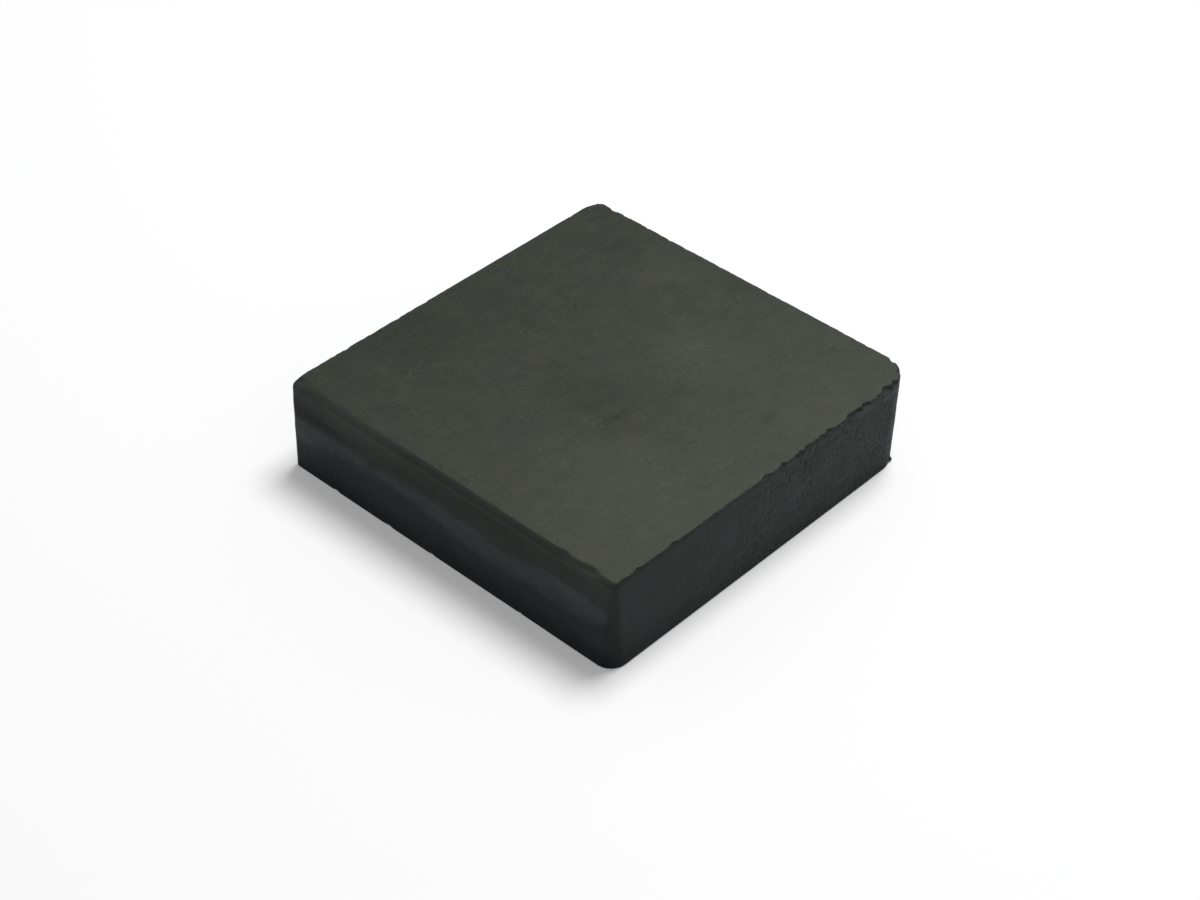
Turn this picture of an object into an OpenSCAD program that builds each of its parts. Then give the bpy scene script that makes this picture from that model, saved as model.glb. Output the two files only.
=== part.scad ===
// Block magnet of sintered hard ferrite: one piece, pressed, fired and ground to thickness.
// X runs along the length, Y across the width and Z through the thickness, which is also the
// direction of magnetisation. The origin is the middle of the lower pole face. Millimetres.
// The four sides are numbered anticlockwise seen from above: 0 is -Y, 1 is +X, 2 is +Y, 3 is -X.
// Corner n is where side n begins: 0 is at -X -Y, 1 at +X -Y, 2 at +X +Y, 3 at -X +Y.

/* [Block] */
// Length along X, face to face
block_length = 40; // [30:0.5:60]
// Width along Y, face to face
block_width = 40; // [30:0.5:60]
// Thickness between the two ground pole faces
block_thickness = 10; // [6:0.5:20]

/* [Upright corners] */
// Radius of the corner at -X -Y, which is still almost sharp
left_corner_radius = 0.5; // [0.3:0.1:5]
// Radius of the corner at +X -Y
front_corner_radius = 1.3; // [0.3:0.1:5]
// Radius of the corner at +X +Y, the most rounded one
right_corner_radius = 3.3; // [0.3:0.1:5]
// Radius of the corner at -X +Y
back_corner_radius = 1.8; // [0.3:0.1:5]

/* [Arrises] */
// Width of the fine bevel that grinding leaves round the upper pole face
upper_arris = 0.15; // [0.05:0.05:0.25]
// Width of the fine bevel round the lower pole face
lower_arris = 0.1; // [0.05:0.05:0.25]

/* [Worn edge at -Y] */
// Width of the worn flat on the upper pole face, at its -X end
flat_start_width = 0.6; // [0.2:0.05:1.5]
// Width of the worn flat on the upper pole face, at its +X end
flat_end_width = 0.4; // [0.2:0.05:1.5]
// Drop of the worn flat down the side
flat_drop = 0.55; // [0.2:0.05:1.5]
// Width of the rubbed facet at the corner at -X -Y, on the upper pole face
facet_width = 1.3; // [0.5:0.1:3]
// Length over which that facet runs out along the arris
facet_run = 8; // [4:0.5:15]
// Drop of that facet down the side
facet_drop = 0.35; // [0.1:0.05:1]

/* [Small chips] */
// Spacing of the small chips round the upper pole face
upper_chip_pitch = 1.9; // [1.5:0.1:6]
// Spacing of the small chips round the lower pole face, which is hardly chipped
lower_chip_pitch = 7; // [4:0.5:12]
// Shallowest bite of a small chip, from the sharp arris
least_bite = 0.14; // [0.1:0.01:0.2]
// Deepest bite of a small chip of the upper pole face
most_bite = 0.3; // [0.2:0.01:0.4]
// Deepest bite of a small chip of the lower pole face
most_lower_bite = 0.2; // [0.15:0.01:0.3]
// Smallest radius of a small chip's hollow
least_hollow = 0.5; // [0.4:0.05:0.8]
// Largest radius of a small chip's hollow
most_hollow = 1.1; // [0.8:0.05:1.6]
// Number that fixes where the small chips fall
chip_seed = 11; // [1:1:99]

/* [Large chips] */
// Factor on the bite of every large chip
large_bite_factor = 1; // [0.6:0.05:1.4]

/* [Hidden] */

ferrite = [0.29, 0.30, 0.28];
// Segments of a full circle, on a corner's round and on a chip's hollow
round_steps = 48;
hollow_steps = 28;
// Lean that shares a bite evenly between the side and the pole face, and how much it varies
even_lean = 45;
lean_spread = 20;
// Share of the pitch that a small chip may lie away from its even place, to either side
pitch_play = 0.3;

corner_radii = [left_corner_radius, front_corner_radius, right_corner_radius, back_corner_radius];
side_lengths = [block_length, block_width, block_length, block_width];
side_offsets = [block_width, block_length, block_width, block_length] / 2;

// The large chips of the upper arrises, as the block shows them. Each row holds the side, the end
// of the side that it is measured from (-1 where the side begins, 1 where it ends), the distance
// from that end, the radius of the hollow, the bite from the sharp arris, and the lean: 45 shares
// the bite evenly, less puts more of it on the side, more puts it on the pole face.
large_chips = [
    [0, 1, 3.8, 5.0, 0.62, 45],
    [0, 1, 6.2, 0.9, 0.56, 50],
    [0, -1, 4.3, 1.0, 0.50, 60],
    [1, 1, 4.2, 1.2, 0.44, 30],
    [1, 1, 6.6, 1.8, 0.50, 28],
    [1, 1, 7.6, 0.8, 0.40, 45],
    [1, 1, 9.6, 1.4, 0.36, 32],
    [1, 1, 12.1, 0.8, 0.42, 50],
    [1, 1, 15.0, 1.0, 0.34, 45],
    [1, -1, 19.3, 1.1, 0.36, 50],
    [1, -1, 7.4, 1.0, 0.34, 45],
    [1, -1, 3.1, 0.9, 0.30, 40],
    [2, 1, 2.6, 1.1, 0.34, 50],
    [2, -1, 5.2, 1.6, 0.32, 50],
    [3, -1, 3.4, 1.3, 0.32, 50],
    [3, 1, 13.2, 1.1, 0.30, 45]
];

// The large chips of the rounded corners: the corner, the heading in plan from the middle of the
// corner's round, the radius of the hollow, the bite and the lean.
corner_chips = [
    [2, 12, 1.0, 0.40, 40],
    [2, 44, 1.3, 0.34, 50],
    [2, 76, 1.0, 0.32, 45],
    [1, -52, 1.0, 0.34, 40],
    [3, 128, 1.1, 0.32, 50]
];

// Puts its children in the frame of one side: x along the side, -y out of the block, z up
module on_side(side) {
    rotate([0, 0, 90 * side])
        translate([0, -side_offsets[side], 0])
            children();
}

// Centre of a corner's round, in plan
function corner_centre(corner) =
    let (radius = corner_radii[corner],
         x_sign = corner == 1 || corner == 2 ? 1 : -1,
         y_sign = corner >= 2 ? 1 : -1)
    [x_sign * (block_length / 2 - radius), y_sign * (block_width / 2 - radius)];

// Outline of the block's rim, from the upright face inwards to a given depth
function rim_section(depth) = [
    [0, lower_arris],
    [lower_arris, 0],
    [depth, 0],
    [depth, block_thickness],
    [upper_arris, block_thickness],
    [0, block_thickness - upper_arris]
];

// Round post that fills one upright corner, with the arris bevels turned round it
module corner_post(corner) {
    radius = corner_radii[corner];
    translate(corner_centre(corner))
        rotate_extrude($fn = round_steps)
            polygon([for (point = rim_section(radius)) [radius - point[0], point[1]]]);
}

// Straight quarter of the block behind one side, between its two corner posts
module side_slab(side) {
    start = -side_lengths[side] / 2 + corner_radii[side];
    end = side_lengths[side] / 2 - corner_radii[(side + 1) % 4];
    on_side(side)
        translate([start, 0, 0])
            rotate([90, 0, 90])
                linear_extrude(end - start)
                    polygon(rim_section(side_offsets[side]));
}

// Everything above a flat that slopes outwards across an upper arris. The flat's inner edge lies
// on the pole face, start_width in from the side at start and end_width in at end.
module above_flat(side, start, end, start_width, end_width, drop) {
    run = end - start;
    yaw = atan((end_width - start_width) / run);
    slope = atan(drop / (max(start_width, end_width) * cos(yaw)));
    reach = run / cos(yaw);
    clear = 2 * (start_width + end_width + drop);
    on_side(side)
        translate([start, start_width, block_thickness])
            rotate([0, 0, yaw])
                rotate([slope, 0, 0])
                    translate([-clear, -clear, 0])
                        cube([reach + 2 * clear, clear, clear]);
}

// Shell-shaped hollow that a chip leaves in an arris. Its frame has the sharp arris at the origin,
// x pointing out of the block and z pointing out of the pole face.
module chip_hollow(radius, bite, lean) {
    distance = radius - bite;
    translate([distance * cos(lean), 0, distance * sin(lean)])
        sphere(radius, $fn = hollow_steps);
}

// Hollow at a place along the arris of one side, on the upper (1) or lower (-1) pole face
module side_chip(side, along, pole, radius, bite, lean) {
    on_side(side)
        translate([along, 0, pole > 0 ? block_thickness : 0])
            rotate([0, 0, -90])
                chip_hollow(radius, bite, pole * lean);
}

// Hollow at a heading round one rounded corner of the upper pole face
module corner_chip(corner, heading, radius, bite, lean) {
    translate(concat(corner_centre(corner), block_thickness))
        rotate([0, 0, heading])
            translate([corner_radii[corner], 0, 0])
                chip_hollow(radius, bite, lean);
}

// Row of small chips, a little unevenly spaced, along the arris of one side
module small_chips(side, pole, pitch, deepest) {
    start = -side_lengths[side] / 2 + corner_radii[side];
    end = side_lengths[side] / 2 - corner_radii[(side + 1) % 4];
    count = floor((end - start) / pitch);
    row_seed = chip_seed + 100 * side + 1000 * (pole + 1);
    for (index = [0 : count - 1]) {
        draw = rands(0, 1, 4, row_seed + index);
        side_chip(
            side,
            start + (index + 0.5 + pitch_play * (2 * draw[0] - 1)) * pitch,
            pole,
            least_hollow + (most_hollow - least_hollow) * draw[1],
            least_bite + (deepest - least_bite) * pow(draw[2], 2),
            even_lean + lean_spread * (draw[3] - 0.5)
        );
    }
}

// The pressed and ground block before any wear
module ground_block() {
    for (side = [0 : 3]) {
        corner_post(side);
        side_slab(side);
    }
}

// All that handling has taken off the brittle edges
module wear() {
    half_length = block_length / 2;
    above_flat(0, -half_length, half_length, flat_start_width, flat_end_width, flat_drop);
    above_flat(0, -half_length, -half_length + facet_run, facet_width, 0, facet_drop);
    for (side = [0 : 3]) {
        small_chips(side, 1, upper_chip_pitch, most_bite);
        small_chips(side, -1, lower_chip_pitch, most_lower_bite);
    }
    for (row = large_chips) {
        along = row[1] * (side_lengths[row[0]] / 2 - row[2]);
        side_chip(row[0], along, 1, row[3], row[4] * large_bite_factor, row[5]);
    }
    for (row = corner_chips)
        corner_chip(row[0], row[1], row[2], row[3] * large_bite_factor, row[4]);
}

module magnet_block() {
    color(ferrite)
        difference() {
            ground_block();
            wear();
        }
}

magnet_block();
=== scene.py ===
"""Looks of a sintered ferrite block magnet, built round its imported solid.

The block is pressed from ferrite powder in a die, fired, and ground to thickness on both pole
faces. Its upright sides keep the skin of the die and the kiln, and its brittle edges are chipped.
Lengths in this file are millimetres unless a name or a comment says otherwise; Blender's own
coordinates are metres.
"""

import logging
import math
import random
from dataclasses import dataclass, field
from enum import Enum
from typing import Callable, Iterator, Sequence, Union

import bmesh
import bpy
from mathutils import Matrix, Vector
from mathutils.bvhtree import BVHTree


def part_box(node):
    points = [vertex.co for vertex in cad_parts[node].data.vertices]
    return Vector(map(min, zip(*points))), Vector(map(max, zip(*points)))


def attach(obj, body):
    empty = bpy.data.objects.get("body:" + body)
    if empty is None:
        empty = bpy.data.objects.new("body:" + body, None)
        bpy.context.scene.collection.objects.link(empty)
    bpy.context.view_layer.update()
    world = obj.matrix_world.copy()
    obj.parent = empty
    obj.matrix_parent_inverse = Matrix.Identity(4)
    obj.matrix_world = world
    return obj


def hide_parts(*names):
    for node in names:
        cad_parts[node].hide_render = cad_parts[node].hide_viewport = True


Point = tuple[float, float, float]
Key = Union[str, int]

LOG = logging.getLogger("block_magnet")
MM = 0.001
NODE = "magnet_block"
BODY = "root"

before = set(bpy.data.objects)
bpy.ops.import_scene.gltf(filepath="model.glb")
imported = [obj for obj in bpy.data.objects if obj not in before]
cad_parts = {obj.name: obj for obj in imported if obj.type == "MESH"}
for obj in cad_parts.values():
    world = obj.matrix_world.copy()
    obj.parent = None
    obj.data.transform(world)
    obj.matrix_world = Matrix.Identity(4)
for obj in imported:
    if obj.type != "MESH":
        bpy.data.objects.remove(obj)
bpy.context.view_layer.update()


def linear(hex_colour: str) -> tuple[float, float, float, float]:
    """Turns an sRGB hex colour into the linear colour that a shader socket takes.

    Args:
        hex_colour: Colour as "#rrggbb".

    Returns:
        Linear red, green, blue and full alpha.
    """
    parts = [int(hex_colour[i : i + 2], 16) / 255 for i in (1, 3, 5)]
    red, green, blue = (
        part / 12.92 if part <= 0.04045 else ((part + 0.055) / 1.055) ** 2.4 for part in parts
    )
    return red, green, blue, 1.0


def add_node(
    tree: bpy.types.NodeTree,
    kind: str,
    settings: dict[Key, object],
    links: dict[Key, bpy.types.NodeSocket],
) -> bpy.types.Node:
    """Adds one node to a tree, sets it and links its inputs.

    Args:
        tree: Node tree of a material or of the world.
        kind: Blender's type name of the node, without its "ShaderNode" beginning.
        settings: Values by the name of a property, or by the name or number of an input.
            "curve" holds the points of a float curve, as pairs of input and value.
        links: Output sockets, by the name or number of the input that each feeds.

    Returns:
        The new node.
    """
    node = tree.nodes.new("ShaderNode" + kind)
    for key, value in settings.items():
        if key == "curve":
            curve = node.mapping.curves[0]
            while len(curve.points) < len(value):
                curve.points.new(0.5, 0.5)
            for point, place in zip(curve.points, value):
                point.location = place
            node.mapping.update()
        elif isinstance(key, str) and hasattr(node, key):
            setattr(node, key, value)
        else:
            node.inputs[key].default_value = value
    for key, socket in links.items():
        tree.links.new(socket, node.inputs[key])
    return node


def clear_selection() -> None:
    """Deselects every object, and leaves edit mode if it is on."""
    if bpy.context.object and bpy.context.object.mode != "OBJECT":
        bpy.ops.object.mode_set(mode="OBJECT")
    bpy.ops.object.select_all(action="DESELECT")


def start_editing(piece: bpy.types.Object, kind: str) -> None:
    """Puts one object alone into edit mode.

    Args:
        piece: Mesh object to edit.
        kind: What is selected there: "VERT", "EDGE" or "FACE".
    """
    clear_selection()
    bpy.context.view_layer.objects.active = piece
    piece.select_set(True)
    bpy.ops.object.mode_set(mode="EDIT")
    bpy.ops.mesh.select_mode(type=kind)


def select_edges(piece: bpy.types.Object, test: Callable[[Vector], bool]) -> None:
    """Selects, in edit mode, the edges whose two ends both pass a test.

    Args:
        piece: Object in edit mode.
        test: Answers whether a point, in millimetres, belongs.
    """
    mesh = bmesh.from_edit_mesh(piece.data)
    for edge in mesh.edges:
        edge.select_set(False)
    for edge in mesh.edges:
        if all(test(vertex.co / MM) for vertex in edge.verts):
            edge.select_set(True)
    bmesh.update_edit_mesh(piece.data)


def apply_modifier(piece: bpy.types.Object, kind: str, settings: dict[str, object]) -> None:
    """Adds one modifier to a piece and applies it at once.

    Args:
        piece: Object that gets the modifier.
        kind: Blender's name for the kind of modifier.
        settings: Values by the name of the modifier's property.
    """
    clear_selection()
    bpy.context.view_layer.objects.active = piece
    piece.select_set(True)
    modifier = piece.modifiers.new(kind.lower(), kind)
    for key, value in settings.items():
        setattr(modifier, key, value)
    bpy.ops.object.modifier_apply(modifier=modifier.name)


class Side(Enum):
    """Upright side of the block. The value is the heading of its outward direction, in degrees."""

    MINUS_Y = -90
    PLUS_X = 0
    PLUS_Y = 90
    MINUS_X = 180

    @property
    def outward(self) -> Vector:
        """Unit direction out of the block."""
        heading = math.radians(self.value)
        return Vector((round(math.cos(heading)), round(math.sin(heading)), 0))

    @property
    def along(self) -> Vector:
        """Unit direction along the side, anticlockwise seen from above."""
        outward = self.outward
        return Vector((-outward.y, outward.x, 0))


class Pole(Enum):
    """Ground pole face. The value is the sign of its outward direction along Z."""

    LOWER = -1
    UPPER = 1


@dataclass(frozen=True)
class UprightCorner:
    """One upright corner, which firing has drawn a little differently at each pole face.

    Attributes:
        x_sign: Side of the middle that the corner is on, along X.
        y_sign: The same along Y.
        upper_radius: Radius of the round at the upper pole face.
        lower_radius: Radius of the round at the lower pole face.
        upper_shift: How far the corner is drawn out of square in plan, at the upper face.
        lower_shift: The same at the lower face.
    """

    x_sign: int
    y_sign: int
    upper_radius: float
    lower_radius: float
    upper_shift: tuple[float, float]
    lower_shift: tuple[float, float]


@dataclass(frozen=True)
class WornFlat:
    """Flat that rubbing has left across an edge, given by three points of its plane.

    Attributes:
        points: Three points of the plane.
        outward: Rough direction of what is worn away.
    """

    points: tuple[Point, Point, Point]
    outward: Point


@dataclass(frozen=True)
class Chip:
    """Shell-shaped break, cut by a rough ball that bites into the skin.

    Attributes:
        place: Point on the sharp arris or on the side that the bite is measured from.
        outward: Direction out of the block there.
        radius: Radius of the hollow.
        bite: Depth of the hollow.
        axis: World axis, 0 for X or 1 for Y, that the hollow is drawn out along.
        stretch: How much longer than deep it is along that axis.
    """

    place: Vector
    outward: Vector
    radius: float
    bite: float
    axis: int = 0
    stretch: float = 1.0


@dataclass
class PressedBody:
    """The block as it leaves the kiln and the grinder, before any break.

    Attributes:
        low: Lowest corner of its box.
        high: Highest corner of its box.
        corners: The four upright corners.
        upper_arris: Width of the fine bevel round the upper pole face.
        lower_arris: Width of the fine bevel round the lower pole face.
        round_steps: Segments of each upright round.
    """

    low: Vector
    high: Vector
    corners: tuple[UprightCorner, ...] = (
        UprightCorner(-1, -1, 0.5, 0.6, (0.02, 0.0), (-0.38, 0.0)),
        UprightCorner(1, -1, 0.6, 1.7, (0.0, 0.0), (-0.10, -0.12)),
        UprightCorner(1, 1, 3.2, 3.4, (0.06, -0.17), (-0.20, -0.15)),
        UprightCorner(-1, 1, 1.1, 1.8, (0.26, 0.06), (-0.10, 0.0)),
    )
    upper_arris: float = 0.13
    lower_arris: float = 0.09
    round_steps: int = 16

    @property
    def middle(self) -> Vector:
        """Centre of the block's box."""
        return (self.low + self.high) / 2

    @property
    def half(self) -> Vector:
        """Half of the block's extents."""
        return (self.high - self.low) / 2

    def build(self) -> bpy.types.Object:
        """Makes the block from a cube.

        Returns:
            The sound block, with round corners and fine bevels.
        """
        clear_selection()
        bpy.ops.mesh.primitive_cube_add(size=2, location=self.middle * MM, scale=self.half * MM)
        piece = bpy.context.active_object
        piece.name = "ferrite_block"
        bpy.ops.object.transform_apply(location=True, rotation=True, scale=True)
        for corner in self.corners:
            self.round_corner(piece, corner)
        self.break_arris(piece, self.high.z, self.upper_arris)
        self.break_arris(piece, self.low.z, self.lower_arris)
        clear_selection()
        return piece

    def sharp_corner(self, corner: UprightCorner) -> Vector:
        """Point in plan where the corner's two sides would meet."""
        reach = Vector((corner.x_sign * self.half.x, corner.y_sign * self.half.y, 0))
        return Vector((self.middle.x, self.middle.y, 0)) + reach

    def round_corner(self, piece: bpy.types.Object, corner: UprightCorner) -> None:
        """Rounds one upright corner, then draws it to its radius and place at each pole face.

        Args:
            piece: The block.
            corner: Corner to round.
        """
        tolerance = 1e-3
        sharp = self.sharp_corner(corner)
        widest = max(corner.upper_radius, corner.lower_radius)
        start_editing(piece, "EDGE")
        select_edges(piece, lambda point: (point.xy - sharp.xy).length < tolerance)
        bpy.ops.mesh.bevel(
            offset=widest * MM, segments=self.round_steps, affect="EDGES", clamp_overlap=False
        )
        for height, radius, shift in (
            (self.high.z, corner.upper_radius, corner.upper_shift),
            (self.low.z, corner.lower_radius, corner.lower_shift),
        ):
            select_edges(
                piece,
                lambda point, z=height: abs(point.z - z) < tolerance
                and (point.xy - sharp.xy).length < widest + tolerance,
            )
            bpy.ops.transform.resize(
                value=(radius / widest, radius / widest, 1), center_override=sharp * MM
            )
            bpy.ops.transform.translate(value=(shift[0] * MM, shift[1] * MM, 0))

    def break_arris(self, piece: bpy.types.Object, height: float, width: float) -> None:
        """Takes the sharp arris off one pole face.

        Args:
            piece: The block.
            height: Height of the pole face.
            width: Width of the bevel.
        """
        tolerance = 1e-3
        start_editing(piece, "EDGE")
        select_edges(piece, lambda point: abs(point.z - height) < tolerance)
        bpy.ops.mesh.bevel(offset=width * MM, segments=2, affect="EDGES", clamp_overlap=False)


@dataclass
class EdgeWear:
    """Breaks, worn flats and pits of the brittle skin.

    Attributes:
        body: The sound block that they are cut from.
        seed: Number that fixes where the small chips and the pits fall.
        flats: Worn flats.
        large_chips: Each row holds the side, the distance along it from its middle, the radius,
            the bite, the lean, in degrees, from straight out of the side towards straight up, and
            the stretch along the arris.
        corner_chips: Each row holds the corner's number, the heading in plan, the radius, the
            bite and the lean.
        upper_pitch: Spacing of the small chips of the upper arrises.
        lower_pitch: Spacing of the small chips of the lower arrises.
        least_bite: Shallowest bite of a small chip.
        pits_a_side: Pits on each of the two pitted sides, which face X.
        burr: Corner's number, heading in plan, height and radius of the one burr of the die.
    """

    body: PressedBody
    seed: int = 11
    flats: tuple[WornFlat, ...] = (
        WornFlat(((-20, -19.42, 10), (20, -19.62, 10), (-20, -20.0, 9.5)), (0, -1, 1)),
        WornFlat(((-20, -18.7, 10), (-12, -20, 10), (-20, -20, 9.65)), (0, -1, 1)),
        WornFlat(((-19.76, 18.12, 10), (-19.13, 19.84, 10), (-20.1, 18.3, 0)), (-1, 0.4, 0)),
    )
    large_chips: tuple[tuple[Side, float, float, float, float, float], ...] = (
        (Side.MINUS_Y, 16.2, 5.0, 0.62, 45, 1.0),
        (Side.MINUS_Y, 13.8, 0.9, 0.56, 50, 1.0),
        (Side.MINUS_Y, -15.7, 1.0, 0.50, 60, 1.0),
        (Side.PLUS_X, 16.0, 0.8, 0.46, 14, 1.3),
        (Side.PLUS_X, 16.2, 0.34, 0.40, 50, 2.4),
        (Side.PLUS_X, 12.9, 0.32, 0.36, 50, 1.8),
        (Side.PLUS_X, 11.7, 0.6, 0.32, 12, 1.7),
        (Side.PLUS_X, 10.9, 0.30, 0.34, 50, 2.6),
        (Side.PLUS_X, 7.9, 0.34, 0.34, 45, 1.3),
        (Side.PLUS_X, 6.8, 0.30, 0.26, 40, 1.6),
        (Side.PLUS_X, 5.0, 0.40, 0.26, 40, 1.7),
        (Side.PLUS_X, 3.9, 0.30, 0.22, 40, 1.0),
        (Side.PLUS_X, -0.7, 0.42, 0.30, 45, 1.6),
        (Side.PLUS_X, -12.6, 0.45, 0.28, 45, 1.4),
        (Side.PLUS_X, -16.9, 0.45, 0.26, 40, 1.2),
        (Side.PLUS_Y, 17.4, 0.8, 0.32, 50, 1.0),
        (Side.PLUS_Y, -14.8, 1.2, 0.32, 50, 1.0),
        (Side.MINUS_X, -16.6, 1.0, 0.32, 50, 1.0),
        (Side.MINUS_X, 6.8, 0.8, 0.30, 45, 1.0),
    )
    corner_chips: tuple[tuple[int, float, float, float, float], ...] = (
        (2, 10, 0.6, 0.40, 42),
        (2, 44, 0.9, 0.36, 50),
        (2, 76, 0.8, 0.30, 45),
        (1, -52, 0.8, 0.26, 40),
        (3, 128, 0.9, 0.30, 50),
    )
    upper_pitch: float = 1.9
    lower_pitch: float = 8.0
    least_bite: float = 0.10
    pits_a_side: int = 12
    burr: tuple[int, float, float, float] = (2, 28, 0.27, 0.24)

    def side_point(self, side: Side, along: float, height: float) -> Vector:
        """Point on the flat plane of one side.

        Args:
            side: The side.
            along: Distance along it from its middle.
            height: Height above the lower pole face.

        Returns:
            The point.
        """
        half = self.body.half
        reach = half.y if side in (Side.MINUS_Y, Side.PLUS_Y) else half.x
        centre = Vector((self.body.middle.x, self.body.middle.y, self.body.low.z + height))
        return centre + side.outward * reach + side.along * along

    def leaning(self, outward: Vector, pole: Pole, lean: float) -> Vector:
        """Direction that leans from straight out of a side towards a pole.

        Args:
            outward: Direction straight out of the side.
            pole: Pole face that it leans towards.
            lean: Angle in degrees.

        Returns:
            Unit direction.
        """
        angle = math.radians(lean)
        return outward * math.cos(angle) + Vector((0, 0, pole.value)) * math.sin(angle)

    def named_chips(self) -> Iterator[Chip]:
        """Large chips at the places where the block shows them."""
        height = self.body.high.z - self.body.low.z
        for side, along, radius, bite, lean, stretch in self.large_chips:
            place = self.side_point(side, along, height)
            direction = self.leaning(side.outward, Pole.UPPER, lean)
            axis = 0 if side.along.x else 1
            yield Chip(place, direction, radius, bite, axis, stretch)
        for number, heading, radius, bite, lean in self.corner_chips:
            corner = self.body.corners[number]
            angle = math.radians(heading)
            out = Vector((math.cos(angle), math.sin(angle), 0))
            inwards = Vector((corner.x_sign, corner.y_sign, 0)) * corner.upper_radius
            shift = Vector((*corner.upper_shift, self.body.high.z))
            centre = self.body.sharp_corner(corner) - inwards + shift
            place = centre + out * corner.upper_radius
            yield Chip(place, self.leaning(out, Pole.UPPER, lean), radius, bite)

    def small_chips(self, draw: random.Random) -> Iterator[Chip]:
        """Unevenly spaced nicks along every arris but the upper one at -Y.

        Args:
            draw: Seeded source of the random numbers.

        Yields:
            One chip after another.
        """
        length = 2 * self.body.half.x - 3
        for side in Side:
            for pole, pitch, deepest in (
                (Pole.UPPER, self.upper_pitch, 0.24),
                (Pole.LOWER, self.lower_pitch, 0.17),
            ):
                if side is Side.MINUS_Y and pole is Pole.UPPER:
                    continue
                height = self.body.high.z - self.body.low.z if pole is Pole.UPPER else 0
                for index in range(int(length / pitch)):
                    along = (index + 0.5 + 0.45 * draw.uniform(-1, 1)) * pitch - length / 2
                    bite = self.least_bite + (deepest - self.least_bite) * draw.random() ** 2
                    direction = self.leaning(side.outward, pole, draw.uniform(28, 62))
                    place = self.side_point(side, along, height)
                    radius = draw.uniform(0.25, 0.6)
                    stretch = draw.uniform(1.0, 2.6)
                    axis = 0 if side.along.x else 1
                    yield Chip(place, direction, radius, bite, axis, stretch)

    def pits(self, draw: random.Random) -> Iterator[Chip]:
        """Pits where coarse grains fell out of the sides that face X.

        Args:
            draw: Seeded source of the random numbers.

        Yields:
            One pit after another.
        """
        for side in (Side.PLUS_X, Side.MINUS_X):
            for _ in range(self.pits_a_side):
                along = 17.0 - 33 * draw.random() ** 1.5
                height = 1.5 + 7.3 * draw.random() ** 0.8
                place = self.side_point(side, along * side.along.y, height) - side.outward * 0.05
                radius = draw.uniform(0.11, 0.2)
                yield Chip(place, side.outward, radius, 0.6 * radius, 1, draw.uniform(1, 2.2))

    def rough_ball(self, seed: int) -> bpy.types.Object:
        """Faceted ball that leaves the splintered hollow of a brittle break.

        Args:
            seed: Number that fixes its facets.

        Returns:
            Ball of radius one.
        """
        clear_selection()
        bpy.ops.mesh.primitive_ico_sphere_add(subdivisions=2, radius=1)
        ball = bpy.context.active_object
        start_editing(ball, "VERT")
        bpy.ops.mesh.select_all(action="SELECT")
        bpy.ops.transform.vertex_random(offset=0.2, seed=seed)
        clear_selection()
        return ball

    def place_ball(
        self, ball: bpy.types.Object, centre: Vector, scale: Sequence[float], turn: Sequence[float]
    ) -> bpy.types.Object:
        """Copies a rough ball to one place.

        Args:
            ball: Ball of radius one.
            centre: Middle of the copy.
            scale: Its radius along each axis.
            turn: Its turn about each axis, in radians.

        Returns:
            The copy, with a mesh of its own.
        """
        copy = ball.copy()
        copy.data = ball.data.copy()
        copy.location = centre * MM
        copy.rotation_euler = turn
        copy.scale = [radius * MM for radius in scale]
        bpy.context.scene.collection.objects.link(copy)
        return copy

    def cutter(self) -> bpy.types.Object:
        """One object that holds the cutting ball of every chip and pit.

        Returns:
            The joined cutter.
        """
        draw = random.Random(self.seed)
        balls = [self.rough_ball(seed) for seed in range(8)]
        copies = []
        for chips in (self.named_chips(), self.small_chips(draw), self.pits(draw)):
            for chip in chips:
                centre = chip.place + chip.outward * (chip.radius - chip.bite)
                scale = [chip.radius] * 3
                scale[chip.axis] *= chip.stretch
                turn = [0.0] * 3
                turn[chip.axis] = draw.uniform(0, math.tau)
                copies.append(self.place_ball(draw.choice(balls), centre, scale, turn))
        for ball in balls:
            bpy.data.objects.remove(ball)
        LOG.info("%d chips and pits", len(copies))
        return self.join(copies)

    def join(self, parts: list[bpy.types.Object]) -> bpy.types.Object:
        """Joins several objects into the first of them.

        Args:
            parts: Objects to join.

        Returns:
            The joined object, at the origin.
        """
        clear_selection()
        for part in parts:
            part.select_set(True)
        bpy.context.view_layer.objects.active = parts[0]
        bpy.ops.object.join()
        bpy.ops.object.transform_apply(location=True, rotation=True, scale=True)
        joined = bpy.context.active_object
        clear_selection()
        return joined

    def raise_burr(self, piece: bpy.types.Object) -> None:
        """Sets the one burr on its corner; the rebuilt mesh later melts it into the body.

        Args:
            piece: The chipped block.
        """
        number, heading, height, radius = self.burr
        corner = self.body.corners[number]
        angle = math.radians(heading)
        out = Vector((math.cos(angle), math.sin(angle), 0))
        inwards = Vector((corner.x_sign, corner.y_sign, 0)) * corner.lower_radius
        shift = Vector((*corner.lower_shift, self.body.low.z + height))
        centre = self.body.sharp_corner(corner) - inwards + shift + out * corner.lower_radius
        ball = self.rough_ball(number)
        copy = self.place_ball(ball, centre, [radius] * 3, [0.0] * 3)
        bpy.data.objects.remove(ball)
        self.join([piece, copy])

    def rub_flats(self, piece: bpy.types.Object) -> None:
        """Planes off the worn flats.

        Args:
            piece: The block.
        """
        weld = 0.0002
        start_editing(piece, "FACE")
        for flat in self.flats:
            first, second, third = (Vector(point) for point in flat.points)
            normal = (second - first).cross(third - first).normalized()
            if normal.dot(Vector(flat.outward)) < 0:
                normal.negate()
            bpy.ops.mesh.select_all(action="SELECT")
            bpy.ops.mesh.bisect(
                plane_co=first * MM,
                plane_no=normal,
                use_fill=True,
                clear_outer=True,
                threshold=weld * MM,
            )
        bpy.ops.mesh.select_all(action="SELECT")
        bpy.ops.mesh.remove_doubles(threshold=weld * MM)
        clear_selection()

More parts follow.
